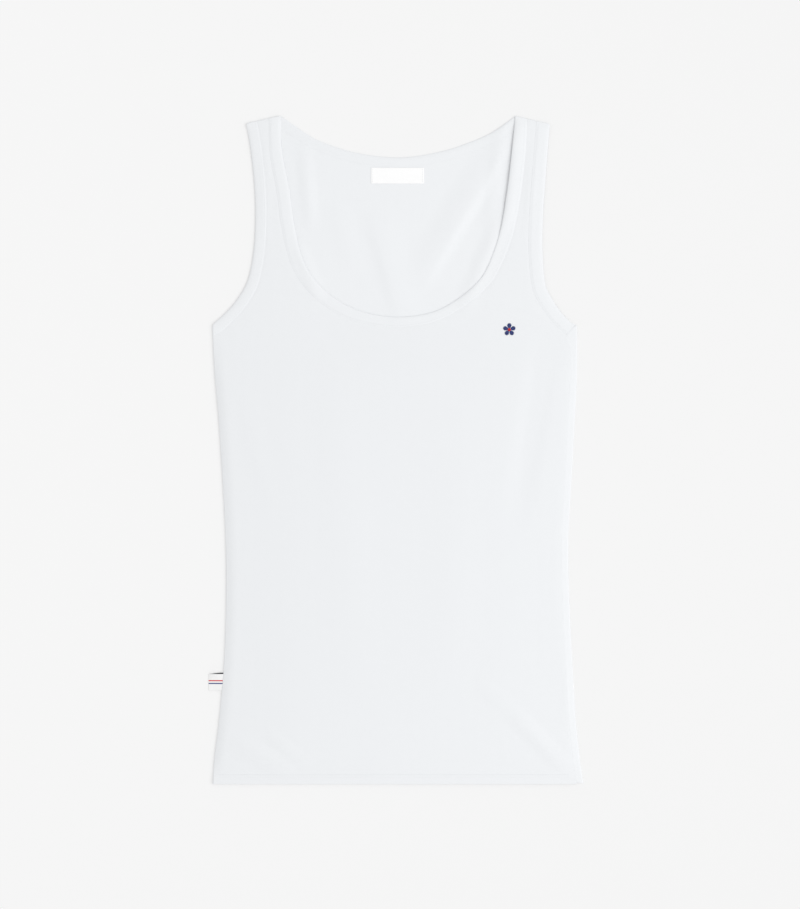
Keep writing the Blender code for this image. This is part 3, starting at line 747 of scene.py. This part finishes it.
def rolled(reachOnTop, up):
    # where the back's cloth reaches a point on top, once it has turned over at the right
    start = sideReach(right, up) - knit["foldRadius"] - wallAt(up) / 2
    return 2 * start + math.pi * knit["foldRadius"] - reachOnTop


def column(ups, acrossAt):
    ups = np.asarray(ups, float)
    return np.column_stack([acrossAt(ups), ups])


def heights(low, high):
    # up a side, closer at the hem
    atEdge, atTop = np.array((0, 0.4, 1.0, 2.5, 5.0)), np.array((-2.5, -1.0, 0, 1.0))
    above = evenly(hemTop + 1.0, high, knit["edgeStep"])[1:]
    return np.concatenate([low + atEdge, hemTop + atTop, above])


def between(first, last, count=10):
    shares = np.linspace(0, 1, count)[1:-1, None]
    return first * (1 - shares) + last * shares


def upperEdge(layer):
    # from the right underarm over both straps to the left underarm
    rightSide = seamPath(*armholeLines(layer, right))[::-1]
    neck = seamPath(*neckLines(layer))[::-1]
    leftSide = seamPath(*armholeLines(layer, left))
    tops = between(rightSide[-1], neck[0]), between(neck[-1], leftSide[0])
    return np.concatenate([rightSide, tops[0], neck, tops[1], leftSide]), rightSide, leftSide, neck


def strapRows(side, neckEnd, armholeEnd):
    return [between(neckEnd, armholeEnd) - shoulders[side]["normal"] * step for step in (0.5, 1.0, 1.5, 2.2)]


def hemRows(first, last):
    xs, steps = evenly(first, last, knit["meshStep"]), (-1.6, -0.9, -0.3, 0.3, 0.9, 1.6)
    return [np.column_stack([xs, np.full(len(xs), hemTop + step)]) for step in steps]


def bottomSteps(first, fold, last):
    # along the bottom edge, closer where it turns over
    nearFold, step = np.linspace(0.35, 2.1, 6), knit["edgeStep"]
    clear, steps = nearFold[-1], [first + nearFold]
    if fold is not None:
        middle = evenly(first + clear, fold - clear, step)[1:-1]
        steps += [middle, fold - nearFold[::-1], [fold], fold + nearFold]
        first = fold
    return np.concatenate([*steps, evenly(first + clear, last, step)[1:-1]])


def dropRepeats(loop, least=0.05):
    gaps = np.linalg.norm(loop - np.roll(loop, 1, axis=0), axis=1)
    return loop[gaps > least]


def panelLoop(hem, upperParts, rightEdge, fold=None):
    # the outline, the rows of points inside it and the sewn edges; fold is where the back's hem turns over
    upper, rightSide, leftSide, neck = upperParts
    leftSideEdge = column(heights(hem, upper[-1][1] - 2.0), leftEdge)
    start, end = leftSideEdge[0][0], rightEdge[0][0]
    xs = bottomSteps(start, fold, end)
    bottom = np.column_stack([xs, np.full(len(xs), hem)])
    rows = hemRows(start + 4.0, end - 4.0 if fold is None else fold - 3.5)
    rows += strapRows(right, neck[0], rightSide[-1]) + strapRows(left, neck[-1], leftSide[0])
    loop = dropRepeats(np.concatenate([bottom, rightEdge, upper, leftSideEdge[::-1]]))
    return loop, rows, (rightSide, neck, leftSide)


def frontLoop():
    ups = heights(outline["hem"], rightSeam["joint"] - 1.0)
    rightEdge = column(ups, lambda up: seamReach(up) + knit["seamOverlap"] / 2)
    loop, rows, sewn = panelLoop(outline["hem"], upperEdge(front), rightEdge)
    return loop, rows, [], sewn


def backLoop():
    upperParts = upperEdge(back)
    underarm = upperParts[0][0][1]
    hem = outline["hem"] + outline["backHemRise"]
    edges, seams = armholeLines(front, right)
    along = unit(edges[-1] - seams[-1])
    tuck = np.array((-along[1], along[0])) * rightSeam["jointTuck"]
    ups = heights(hem, rightSeam["joint"] - 1.0)
    rightEdge = [column(ups, lambda up: rolled(seamReach(up) - knit["seamOverlap"] / 2, up))]
    for share in np.linspace(0, 1, 6):
        across, up = seams[-1] * (1 - share) + edges[-1] * share + tuck
        rightEdge.append(np.array([(float(rolled(across, up)), up)]))
    slot = float(foldLine(right, outline["underarm"])) - knit["seamOverlap"] / 2
    slotUps = evenly(rightEdge[-1][0][1] - 0.2, underarm, knit["edgeStep"])
    slotEdge = np.column_stack([np.full(len(slotUps), slot), slotUps])
    rightEdge = np.concatenate([*rightEdge, between(rightEdge[-1], slotEdge[0], 7), slotEdge])
    fold = column(heights(hem, underarm - 3.0), lambda up: foldLine(right, up))
    loop, rows, sewn = panelLoop(hem, upperParts, rightEdge, fold[0][0])
    rows = [fold + (k * 0.5, 0) for k in range(-4, 5)] + rows
    underSlot = column(np.arange(underarm - 4.0, underarm - 0.3, 0.6), lambda up: foldLine(right, up))
    return loop, rows, [underSlot + (k * 0.45, 0) for k in range(-3, 4)], sewn


thread = dict(
    radius=0.15,
    stitchLength=2.0,
    pitch=2.6,
    arch=0.12,
    turnStep=0.12,
    sunk=0.19,  # how deep it lies in the front's cloth
    onBack=-0.05,  # how far it stands out of the back's outer face
    white=(0.80, 0.82, 0.84),
)


def strands(name, layer, middles, headings, lengths, radius, height, material):
    # short arched strands of thread; height is of their underside, through the cloth's wall
    spans = np.array((-1.0, -0.85, -0.45, 0.0, 0.45, 0.85, 1.0))
    widths = np.array((0.25, 0.75, 1.0, 1.0, 1.0, 0.75, 0.25))
    arches = (1 - spans**2) * thread["arch"] - thread["arch"]
    turns = np.arange(6) * math.pi / 3
    count, rings, around = len(middles), len(spans), len(turns)
    middles, headings = np.asarray(middles, float), np.asarray(headings, float)
    sideways = np.column_stack([-headings[:, 1], headings[:, 0]])
    down = spans * np.broadcast_to(np.asarray(lengths, float), count)[:, None] / 2
    out = sideways[:, None, None] * (widths[:, None] * np.cos(turns))[..., None] * radius
    flat = middles[:, None, None] + (headings[:, None] * down[..., None])[:, :, None] + out
    level = height + radius * (1 + widths[:, None] * np.sin(turns)) + arches[:, None]
    points = lay(layer, flat.reshape(-1, 2), np.tile(level.ravel(), count), knit["panelWall"])
    cloth = np.stack(np.broadcast_arrays(np.arange(around) * thread["turnStep"], down[..., None]), axis=-1)
    faces = []
    for n in range(count):
        base = n * rings * around
        faces += ringFaces(base, rings, around)
        faces.append(tuple(base + k for k in reversed(range(around))))
        faces.append(tuple(base + (rings - 1) * around + k for k in range(around)))
    return makePiece(name, points, faces, material, cloth.reshape(-1, 2))


def alongPath(path, pitch, trim):
    # evenly spaced places and headings on a path, but none within trim of its ends
    distance = lengthAlong(path)
    count = int((distance[-1] - 2 * trim) / pitch)
    at = trim + (np.arange(count) + 0.5) * (distance[-1] - 2 * trim) / count

    def placesAt(at):
        return np.column_stack([np.interp(at, distance, path[:, k]) for k in (0, 1)])

    return placesAt(at), unit(placesAt(at + 0.3) - placesAt(at - 0.3))


panelKnit = ribFinish("panelKnit")
insideKnit = ribFinish("insideKnit", ribKnit["insideTone"])
bindingKnit = ribFinish("bindingKnit", ribKnit["bindingTone"])
whiteThread = threadFinish("whiteThread", thread["white"])
navyDye, redDye = (0.035, 0.055, 0.20), (0.62, 0.035, 0.04)

frontPanel, frontArea = clothPanel("frontPanel", front, *frontLoop(), panelKnit)
backPanel, backArea = clothPanel("backPanel", back, *backLoop(), insideKnit)
print("panels cut", round(frontArea, 4), round(backArea, 4), "square metres")

frontNeck, backNeck = neckLines(front), neckLines(back)
neckRuns = [(front, *frontNeck), (back, backNeck[0][::-1][1:-1], backNeck[1][::-1][1:-1])]
neckBinding = strip("neckBinding", neckRuns, True, bindingKnit)
armholes = {}
stitchRuns = [("neckStitchFront", front, frontNeck), ("neckStitchBack", back, backNeck)]
for side, name in ((left, "left"), (right, "right")):
    over, under = armholeLines(front, side), armholeLines(back, side)
    runs = [(front, over[0][::-1], over[1][::-1]), (back, under[0][1:], under[1][1:])]
    armholes[side] = strip(name + "ArmholeBinding", runs, False, bindingKnit)
    stitchRuns += [(name + "ArmholeStitchFront", front, over), (name + "ArmholeStitchBack", back, under)]
print("bindings sewn on")


def stitched(name, layer, path, top, trim=2.0):
    # top is how high the front's cloth stands there
    places, headings = alongPath(path, thread["pitch"], trim)
    height = top - thread["sunk"] if layer == front else thread["onBack"]
    shape = (thread["stitchLength"], thread["radius"], height)
    return strands(name, layer, places, headings, *shape, whiteThread)


# the stitching runs along each binding beside its seam
seamStitches = []
for name, layer, (edges, seams) in stitchRuns:
    path = edges * binding["grooveAt"] + seams * (1 - binding["grooveAt"])
    face, _, sink = stripLevels(1 - binding["grooveAt"], front)
    seamStitches.append(stitched(name, layer, path, knit["bindingWall"] * (face - sink)))

# the hem's twin rows
hemStitches = []
hemRun = dict(rows=(-3.2, -0.9), fromAcross=-172.0, toAcross=168.0)
for number, offset in enumerate(hemRun["rows"]):
    for name, layer in (("Front", front), ("Back", back)):
        path = np.array([(x, hemTop + offset) for x in evenly(hemRun["fromAcross"], hemRun["toAcross"], 4.0)])
        top = knit["panelWall"] + knit["hemExtra"]
        hemStitches.append(stitched(f"hemStitch{name}{number + 1}", layer, path, top, 0.0))
print("stitching done")

label = dict(
    width=51.4,
    height=15.4,
    middle=(1.5, 266.2),
    wall=0.45,
    gap=0.05,  # between it and the back
    border=1.2,
    borderHeight=0.08,
    white=(0.975, 0.975, 0.975),
    stitchInset=1.3,
    stitchPitch=2.2,
    stitchLength=1.6,
    stitchRadius=0.13,
)
labelTape = wovenFinish("labelTape", label["white"])


def labelSteps(length, step):
    nearEdge = np.array((0, 0.15, 0.5, 1.0))
    return np.concatenate([nearEdge, evenly(1.6, length - 1.6, step), length - nearEdge[::-1]])


def makeLabel():
    # a woven label on the inside of the back
    xs, ys = labelSteps(label["width"], 1.6), labelSteps(label["height"], 1.3)
    gridX, gridY = np.meshgrid(xs, ys)
    edge = np.minimum(np.minimum(gridX, label["width"] - gridX), np.minimum(gridY, label["height"] - gridY))
    rounded = 0.3 + 0.7 * np.sqrt(1 - np.clip(1 - edge / 0.5, 0, 1) ** 2)
    border = label["borderHeight"] * smooth(edge, label["border"] + 0.5, label["border"])
    flat = np.column_stack([gridX.ravel(), gridY.ravel()]) - (label["width"] / 2, label["height"] / 2)
    flat = flat + label["middle"]
    base = knit["panelWall"] + label["gap"]
    top = base + label["wall"] * rounded.ravel() + border.ravel()
    points = np.concatenate([lay(back, flat, level, knit["panelWall"]) for level in (base, top)])
    under, faces = len(flat), []
    at = np.arange(under).reshape(gridX.shape)
    for cell in zip(at[:-1, :-1].ravel(), at[:-1, 1:].ravel(), at[1:, 1:].ravel(), at[1:, :-1].ravel()):
        faces += [tuple(under + k for k in cell), cell[::-1]]
    rim = [*at[0], *at[1:, -1], *at[-1, -2::-1], *at[-2:0:-1, 0]]
    faces += [(a, b, under + b, under + a) for a, b in zip(rim, rim[1:] + rim[:1])]
    return makePiece("neckLabel", points, faces, labelTape, np.concatenate([flat, flat]))


neckLabel = makeLabel()
labelStitches = []
for number, side in enumerate((left, right)):
    across = label["middle"][0] + side * (label["width"] / 2 - label["stitchInset"])
    path = np.array([(across, label["middle"][1] + end * label["height"] / 2) for end in (-1, 1)])
    places, headings = alongPath(path, label["stitchPitch"], 0.7)
    shape = (label["stitchLength"], label["stitchRadius"], knit["panelWall"] + label["wall"])
    labelStitches.append(strands(f"labelStitch{number + 1}", back, places, headings, *shape, whiteThread))

tag = dict(
    tip=-182.0,
    width=15.9,
    middle=-225.7,
    leaf=0.3,
    rootHeight=0.5,
    thickness=0.75,
    part=1.5,  # how far the leaves part at the tag's upper edge
    skew=2.4,  # how far the lower leaf shows beyond the upper one there
    tucked=1.2,
    white=(0.89, 0.89, 0.89),
    stripes=((6.7, 1.1, navyDye), (9.4, 1.1, redDye)),
)
tagTape = wovenFinish("tagTape", tag["white"], tag["stripes"], tag["width"])


def makeTag():
    # one woven strip, folded at the tip, with both ends in the side seam
    radius = (tag["thickness"] - tag["leaf"]) / 2
    tipStart = tag["tip"] + radius + tag["leaf"] / 2
    nearEdge = np.array((0, 0.06, 0.2))
    ups = np.concatenate([nearEdge, np.linspace(0.5, tag["width"] - 0.5, 13), tag["width"] - nearEdge[::-1]])
    shares = np.linspace(0, 1, 16)
    low = tag["rootHeight"] * (1 - smooth(shares, 0.05, 0.8)) + tag["leaf"] / 2
    puff = tag["part"] * np.sin(math.pi * (1 - shares) ** 0.8) * 0.9
    turns = np.linspace(0, math.pi, 9)[1:-1]
    foldUp = tag["leaf"] / 2 + radius + radius * np.cos(turns)
    fold = np.column_stack([tipStart - radius * np.sin(turns), foldUp])
    rows, lengths = [], []
    for offset in ups:
        up = tag["middle"] - tag["width"] / 2 + offset
        root = -float(sideReach(left, up)) + tag["tucked"]
        xs = root + (tipStart - root) * shares
        rising = float(smooth(offset, tag["width"] * 0.35, tag["width"]))
        upperLeaf = np.column_stack([xs, low + 2 * radius + puff * rising])
        path = np.concatenate([upperLeaf, fold, np.column_stack([xs, low])[::-1]])
        ahead = unit(np.gradient(path, axis=0))
        normal = np.column_stack([-ahead[:, 1], ahead[:, 0]])
        edge = min(offset, tag["width"] - offset)
        half = tag["leaf"] / 2 * (0.4 + 0.6 * math.sqrt(1 - max(0.0, 1 - edge / 0.2) ** 2))
        ring = np.concatenate([path + normal * half, (path - normal * half)[::-1]])
        below = smooth(np.arange(len(path)), 17, 36) * tag["skew"] * (offset / tag["width"]) ** 3
        shift = np.concatenate([below, below[::-1]])
        rows.append(np.column_stack([ring[:, 0], up + shift, ring[:, 1]]))
        steps = lengthAlong(path)
        # the leaves' inner faces go past the finish's start of painted shade, so they come out near black
        along = np.concatenate([steps + wovenTape["innerFacesFrom"], steps[::-1]])
        lengths.append(np.column_stack([along, np.full(len(ring), offset)]))
    count = len(rows[0])
    points, cloth = np.concatenate(rows) / 1000, np.concatenate(lengths)
    faces = ringFaces(0, len(rows), count)
    half = count // 2
    for base in (0, (len(rows) - 1) * count):
        for k in range(half - 1):
            faces.append((base + k, base + k + 1, base + count - 2 - k, base + count - 1 - k))
    return makePiece("sideTag", points, faces, tagTape, cloth)


sideTag = makeTag()
print("label and tag done")

# a small embroidered flower on the chest
flower = dict(
    middle=(110.0, 116.6),
    petals=5,
    inner=1.5,
    outer=6.4,
    halfWidth=2.3,
    strand=0.26,
    sunk=0.05,
    centreRise=0.28,
    centreRadius=1.35,
)
petalThread = threadFinish("petalThread", navyDye, 0.45)
centreThread = threadFinish("centreThread", redDye, 0.45)


def makeFlower():
    middle, reach = np.array(flower["middle"]), flower["outer"] - flower["inner"]
    starts, ends = [], []
    for petal in range(flower["petals"]):
        angle = math.pi / 2 + petal * 2 * math.pi / flower["petals"]
        out = np.array((math.cos(angle), math.sin(angle)))
        across = np.array((-out[1], out[0]))
        for t in np.linspace(-0.92, 0.92, 9):
            lean = across * t * flower["halfWidth"]
            starts.append(middle + out * flower["inner"] * (0.7 + 0.5 * abs(t)) + lean * 0.45)
            ends.append(middle + out * (flower["inner"] + reach * (0.5 + 0.5 * math.sqrt(1 - t * t))) + lean)
    starts, ends = np.array(starts), np.array(ends)
    lengths = np.linalg.norm(ends - starts, axis=1)
    shape = ((starts + ends) / 2, unit(ends - starts), lengths, flower["strand"])
    petals = strands("chestFlowerPetals", front, *shape, knit["panelWall"] - flower["sunk"], petalThread)
    ts = np.linspace(-0.9, 0.9, 7)
    middles = [middle + np.array((t * flower["centreRadius"], 0)) for t in ts]
    lengths = 2.9 * np.sqrt(1 - ts * ts) + 0.4
    shape = (lengths, flower["strand"], knit["panelWall"] + flower["centreRise"])
    centre = strands("chestFlowerCentre", front, middles, [(0.0, 1.0)] * len(ts), *shape, centreThread)
    return petals, centre


flowerPetals, flowerCentre = makeFlower()
print("embroidery done")

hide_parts("front_panel")
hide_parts("back_panel")
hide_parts("neck_binding")
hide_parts("armhole_binding_left")
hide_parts("armhole_binding_right")
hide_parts("neck_label")
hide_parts("side_tag")
slots = {
    "knit": [frontPanel, backPanel, *hemStitches],
    "binding": [neckBinding, armholes[left], armholes[right], *seamStitches],
    "woven": [neckLabel, sideTag, *labelStitches, flowerPetals, flowerCentre],
}
for slot, pieces in slots.items():
    for piece in pieces:
        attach(piece, "root")

studio = dict(
    floorSize=4.0,
    floorTone=0.62,
    floorEven=0.062,  # how much its tone changes in half a metre, lighter away from the key light
    floorMiddle=0.47,
    floorGrain=0.06,
    floorGlow=0.266,
    skyStrength=0.833,
    keyPower=31.8,
    keySize=2.6,
    keyPlace=(1.95, -0.3, 2.3),
    clothTop=0.004,
    cameraHeight=2.6,  # over the cloth
    viewMiddle=(0.0039, -0.0046),
    viewHeight=0.8817,
)


def makeFloor():
    finish = Finish("paleFloor")
    grain = finish.noise(40.0, 2.0)
    place = finish.add("SeparateXYZ", values={"Vector": finish.add("TexCoord")["Object"]})
    keyX, keyY, _ = studio["keyPlace"]
    away = (place["X"] * -keyX + place["Y"] * -keyY) * (1 / math.hypot(keyX, keyY))
    tones = (studio["floorTone"] * (1 + studio["floorEven"] * sign) for sign in (-1, 1))
    darker, lighter = ((tone, tone, tone) for tone in tones)
    share = away + studio["floorMiddle"] + grain * studio["floorGrain"]
    material = finish.finish(
        Base_Color=finish.mix(share, darker, lighter),
        Roughness=0.9,
        Specular_IOR_Level=0.0,
        Emission_Color=(1.0, 1.0, 1.0),
        Emission_Strength=studio["floorGlow"],
    )
    half = studio["floorSize"] / 2
    corners = [(-half, -half, 0), (half, -half, 0), (half, half, 0), (-half, half, 0)]
    floor = makePiece("floor", corners, [(0, 1, 2, 3)], material)


def makeLight():
    key = addObject("keyLight", bpy.data.lights.new("keyLight", "AREA"))
    key.data.shape = "DISK"
    key.data.size = studio["keySize"]
    key.data.energy = studio["keyPower"]
    key.location = studio["keyPlace"]
    key.rotation_euler = Vector(studio["keyPlace"]).to_track_quat("Z", "Y").to_euler()
    world = bpy.data.worlds.new("studio")
    world.use_nodes = True
    sky = world.node_tree.nodes["Background"]
    sky.inputs["Color"].default_value = (1, 1, 1, 1)
    sky.inputs["Strength"].default_value = studio["skyStrength"]
    bpy.context.scene.world = world


def makeCamera():
    camera = addObject("camera", bpy.data.cameras.new("camera"))
    camera.data.sensor_width = 36.0
    camera.data.lens = 36.0 * studio["cameraHeight"] / studio["viewHeight"]
    camera.data.clip_end = 50.0
    camera.location = (*studio["viewMiddle"], studio["cameraHeight"] + studio["clothTop"])
    bpy.context.scene.camera = camera


makeFloor()
makeLight()
makeCamera()
bpy.context.scene.view_settings.view_transform = "Standard"
print("floor, light and camera set")
